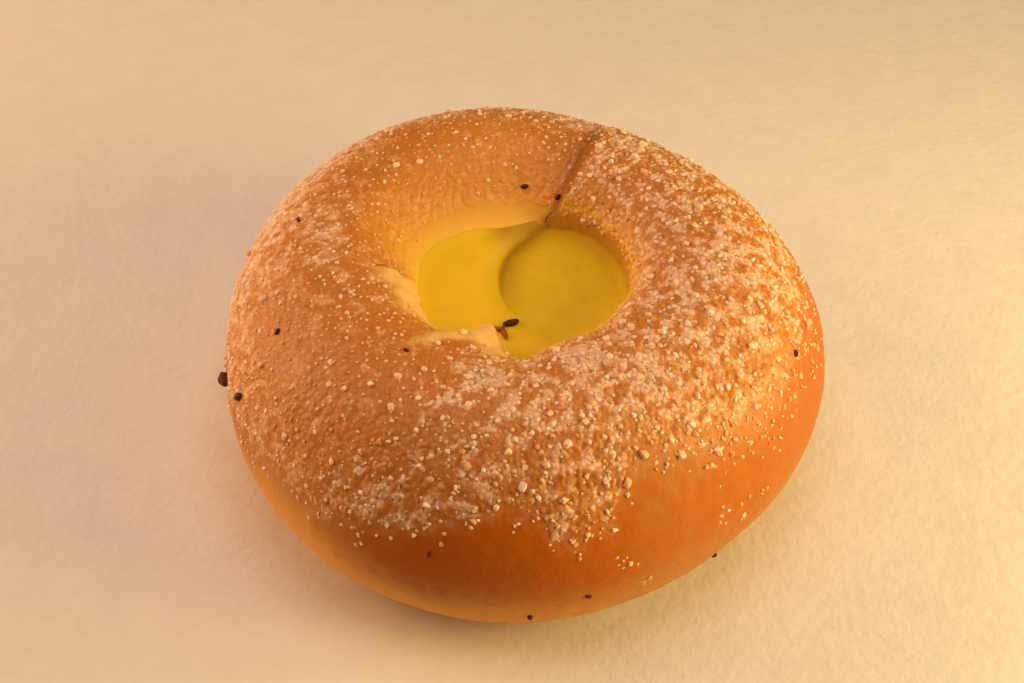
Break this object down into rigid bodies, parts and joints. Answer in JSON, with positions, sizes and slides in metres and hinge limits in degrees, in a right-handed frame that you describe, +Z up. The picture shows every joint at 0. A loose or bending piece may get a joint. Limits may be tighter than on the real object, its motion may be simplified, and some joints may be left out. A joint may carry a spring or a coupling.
{
  "type": "custard bun",
  "caption": "Round sugared yeast bun with a well of set custard in its top, a flat foot to stand on, and specks of ground seed in the crust.",
  "frame": {"origin": "under the middle of the bun, on the surface that it stands on", "axes": "+Z up, +X to the right and +Y to the back, as seen from the front"},
  "size_m": [0.0861, 0.0873, 0.0364],
  "materials": {
    "crust": "golden-brown baked yeast dough, soft sheen, paler where torn",
    "custard": "smooth set yellow custard, glossy",
    "sugar": "clear to white sugar crystals stuck to the crust",
    "seed": "dark brown crushed seed"
  },
  "bodies": {
    "root": {"bun": "crust", "custard": "custard"}
  },
  "joints": []
}
